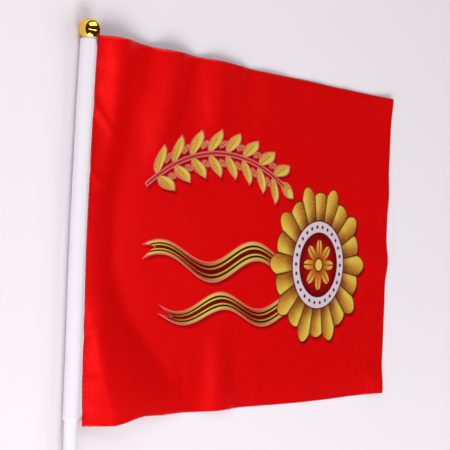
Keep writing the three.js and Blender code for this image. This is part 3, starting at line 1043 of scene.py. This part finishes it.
def satin_material(name, printed):
    """Red satin: five-shaft weave with painted shade between its yarns, faint streaks along the weft, soft
    crumples and a low sheen. Painted light: its red is painted a touch brighter towards the bottom edge."""
    material, tree, shader = new_material(name)
    place = cloth_place(tree)
    x, y = from_seam_and_middle(tree, place)
    ground = RED if printed else RED_BACK
    # Painted light: the red is painted brighter over the last 18 mm towards the bottom edge.
    ground = paint(tree, y.ramp(-82.0, -HALF_HEIGHT, 0.0, 0.8), ground, RED_BOTTOM_EDGE_LIGHT)
    streaks = noise(tree, place, 0.9, stretch=(0.05, 1.6, 1.0)).ramp(0.35, 0.75, 0.0, 0.09)
    colour = paint(tree, streaks, ground, DARK_RED)
    if printed:
        colour = print_colour(tree, x, y, place, colour)
    height, gap_shade = add_weave(tree, place, **SATIN_WEAVE)
    # Painted shade: the satin is painted darker between its yarns.
    colour = paint(tree, gap_shade * 0.08, colour, DARK_RED)
    tree.links.new(colour, shader.inputs["Base Color"])
    rough = noise(tree, place, 0.25, detail=3.0).ramp(0.3, 0.7, 0.31, 0.37)
    tree.links.new(rough.socket, shader.inputs["Roughness"])
    crumple = noise(tree, place, 0.16, detail=4.0)
    bump(tree, shader, height * 0.06 + crumple, 0.0006, 0.35)
    shader.inputs["Metallic"].default_value = 0.42
    shader.inputs["Specular IOR Level"].default_value = 0.3
    shader.inputs["Specular Tint"].default_value = (1.0, 0.7, 0.7, 1.0)
    shader.inputs["Subsurface Weight"].default_value = 0.4
    shader.inputs["Subsurface Radius"].default_value = (1.0, 0.06, 0.06)
    shader.inputs["Subsurface Scale"].default_value = 0.0008
    return material


@cache
def cut_edge_material():
    """The melted cut: dark red with paler specks where the melt catches the light."""
    material, tree, shader = new_material("melted_edge")
    place = coordinates(tree, "Object")
    dark = noise(tree, place, 900.0)
    pale = noise(tree, place, 700.0, detail=1.0)
    colour = paint(tree, dark.ramp(0.40, 0.60), MELT_DARK, MELT_RED)
    colour = paint(tree, pale.ramp(0.62, 0.70), colour, MELT_PALE)
    tree.links.new(colour, shader.inputs["Base Color"])
    tree.links.new(dark.ramp(0.3, 0.7, 0.4, 0.7).socket, shader.inputs["Roughness"])
    shader.inputs["Specular IOR Level"].default_value = 0.15
    shader.inputs["Subsurface Weight"].default_value = 0.5
    shader.inputs["Subsurface Radius"].default_value = (1.0, 0.15, 0.15)
    shader.inputs["Subsurface Scale"].default_value = 0.0005
    return material


def sleeve_material():
    """White plain-woven polyester, a touch blue, with soft crumples and painted shade between its yarns."""
    material, tree, shader = new_material("white_lining")
    place = cloth_place(tree)
    height, gap_shade = add_weave(tree, place, **LINING_WEAVE)
    # Painted shade: the lining is painted darker and bluer between its yarns.
    colour = paint(tree, gap_shade * 0.25, LINING_WHITE, LINING_GAP_SHADE)
    tree.links.new(colour, shader.inputs["Base Color"])
    rough = noise(tree, place, 0.4, detail=3.0).ramp(0.3, 0.7, 0.6, 0.75)
    tree.links.new(rough.socket, shader.inputs["Roughness"])
    crumple = noise(tree, place, 0.3, detail=4.0, stretch=(1.6, 0.5, 1.0))
    bump(tree, shader, height * 0.08 + crumple, 0.0005, 0.4)
    shader.inputs["Specular IOR Level"].default_value = 0.3
    shader.inputs["Sheen Weight"].default_value = 0.15
    return material


def stick_material():
    """White extruded plastic: faint lengthwise lines, a few scuffs and a half gloss."""
    material, tree, shader = new_material("white_plastic")
    lines = noise(tree, coordinates(tree, "UV"), 60.0, stretch=(1.0, 0.02, 1.0))
    scuffs = noise(tree, coordinates(tree, "Object"), 260.0, detail=4.0)
    colour = paint(tree, scuffs.ramp(0.58, 0.75, 0.0, 0.35), STICK_WHITE, STICK_SCUFF)
    tree.links.new(colour, shader.inputs["Base Color"])
    rough = lines * 0.12 + scuffs.ramp(0.5, 0.8, 0.26, 0.42)
    tree.links.new(rough.socket, shader.inputs["Roughness"])
    bump(tree, shader, lines, 0.00005, 0.5)
    return material


def gilt_material():
    """Gold metal coating: mirror bright, with hairline scratches and a slightly uneven tone."""
    material, tree, shader = new_material("gold_coating")
    place = coordinates(tree, "Object")
    tone = noise(tree, place, 240.0, detail=3.0)
    scratches = noise(tree, place, 900.0, detail=1.0, stretch=(1.0, 0.08, 1.0))
    colour = paint(tree, tone.ramp(0.3, 0.7), GILT_LIGHT, GILT_DEEP)
    tree.links.new(colour, shader.inputs["Base Color"])
    rough = tone.ramp(0.4, 0.8, 0.04, 0.10) + scratches.ramp(0.66, 0.74, 0.0, 0.08)
    tree.links.new(rough.socket, shader.inputs["Roughness"])
    bump(tree, shader, scratches, 0.00001, 0.3)
    shader.inputs["Metallic"].default_value = 1.0
    return material


@cache
def thread_material():
    """Dark red sewing thread with a fine twist along it."""
    material, tree, shader = new_material("red_thread")
    twist = noise(tree, coordinates(tree, "Object"), 3200.0, detail=1.0)
    colour = paint(tree, twist.ramp(0.35, 0.65), THREAD_DARK, THREAD_RED)
    tree.links.new(colour, shader.inputs["Base Color"])
    bump(tree, shader, twist, 0.00005, 0.6)
    shader.inputs["Roughness"].default_value = 0.7
    shader.inputs["Specular IOR Level"].default_value = 0.12
    return material


def table_material():
    """The pale table top: an even cool white with a faint unevenness and a low gloss."""
    material, tree, shader = new_material("table_white")
    tone = noise(tree, coordinates(tree, "Object"), 3.0)
    colour = paint(tree, tone.ramp(0.3, 0.7), TABLE_GREY, TABLE_PALE)
    tree.links.new(colour, shader.inputs["Base Color"])
    shader.inputs["Roughness"].default_value = 0.6
    shader.inputs["Specular IOR Level"].default_value = 0.2
    return material


# Stage

def add_camera():
    """The camera on the stick's side, turned a quarter so that the stick stands upright in the picture."""
    data = bpy.data.cameras.new("camera")
    data.lens = CAMERA_LENS
    data.sensor_width = CAMERA_SENSOR
    data.clip_start = 0.01
    data.clip_end = 20.0
    camera = bpy.data.objects.new("camera", data)
    right = CAMERA_FORWARD.cross(CAMERA_UP).normalized()
    up = right.cross(CAMERA_FORWARD)
    turn = Matrix((right, up, -CAMERA_FORWARD)).transposed().to_4x4()
    camera.matrix_world = Matrix.Translation(Vector((CAMERA_EYE + SEAM_ORIGIN) * MM)) @ turn
    bpy.context.scene.collection.objects.link(camera)
    bpy.context.scene.camera = camera


def add_table():
    """The table top: a plain level sheet under the flag."""
    x = np.linspace(-TABLE_HALF, TABLE_HALF, 9)
    grid_x, grid_y = np.meshgrid(x, x)
    points = np.stack([grid_x, grid_y, np.zeros_like(grid_x)], axis=-1)
    piece = make_piece("table_top", points, grid_faces(9, 9))
    piece.data.materials.append(table_material())


def add_softbox(name, direction, distance, size, power, mirrored=False):
    """A rectangular light that faces the flag's middle. A mirrored one shows only in glossy surfaces, and
    the others never do."""
    data = bpy.data.lights.new(name, "AREA")
    data.shape = "RECTANGLE"
    data.size, data.size_y = size
    data.energy = power
    data.color = LIGHT_TINT
    light = bpy.data.objects.new(name, data)
    towards = Vector(direction).normalized()
    light.location = towards * distance
    light.rotation_mode = "QUATERNION"
    light.rotation_quaternion = towards.to_track_quat("Z", "X")
    light.visible_camera = False
    light.visible_glossy = mirrored
    light.visible_diffuse = not mirrored
    bpy.context.scene.collection.objects.link(light)
    return light


def add_strip():
    """A long thin mirrored light overhead along X, level, from far on the stick's side to just past the
    flag."""
    up = (0.0, 0.0, 1.0)
    strip = add_softbox("overhead_strip", up, STRIP_PLACE[2], STRIP_SIZE, STRIP_POWER, mirrored=True)
    strip.location = STRIP_PLACE
    strip.rotation_quaternion = (1.0, 0.0, 0.0, 0.0)


def add_lights():
    """Four soft lights round the stick, from its lower end to past the ball, a wide fill from the fly's
    side, the mirrored ones, and an even dim room with a warm tint."""
    for row in SOFT_LIGHTS:
        add_softbox(**row)
    add_strip()
    for row in MIRRORED_LIGHTS:
        add_softbox(**row, mirrored=True)
    world = bpy.data.worlds.new("studio")
    world.use_nodes = True
    world.node_tree.nodes["Background"].inputs["Color"].default_value = ROOM_COLOUR
    bpy.context.scene.world = world
    bpy.context.scene.view_settings.view_transform = "Standard"


add_camera()
add_cloth()
add_sleeve()
add_stick()
add_ball()
add_stitches()
add_cut_edge()
add_fibres()
add_loose_thread()
add_table()
add_lights()
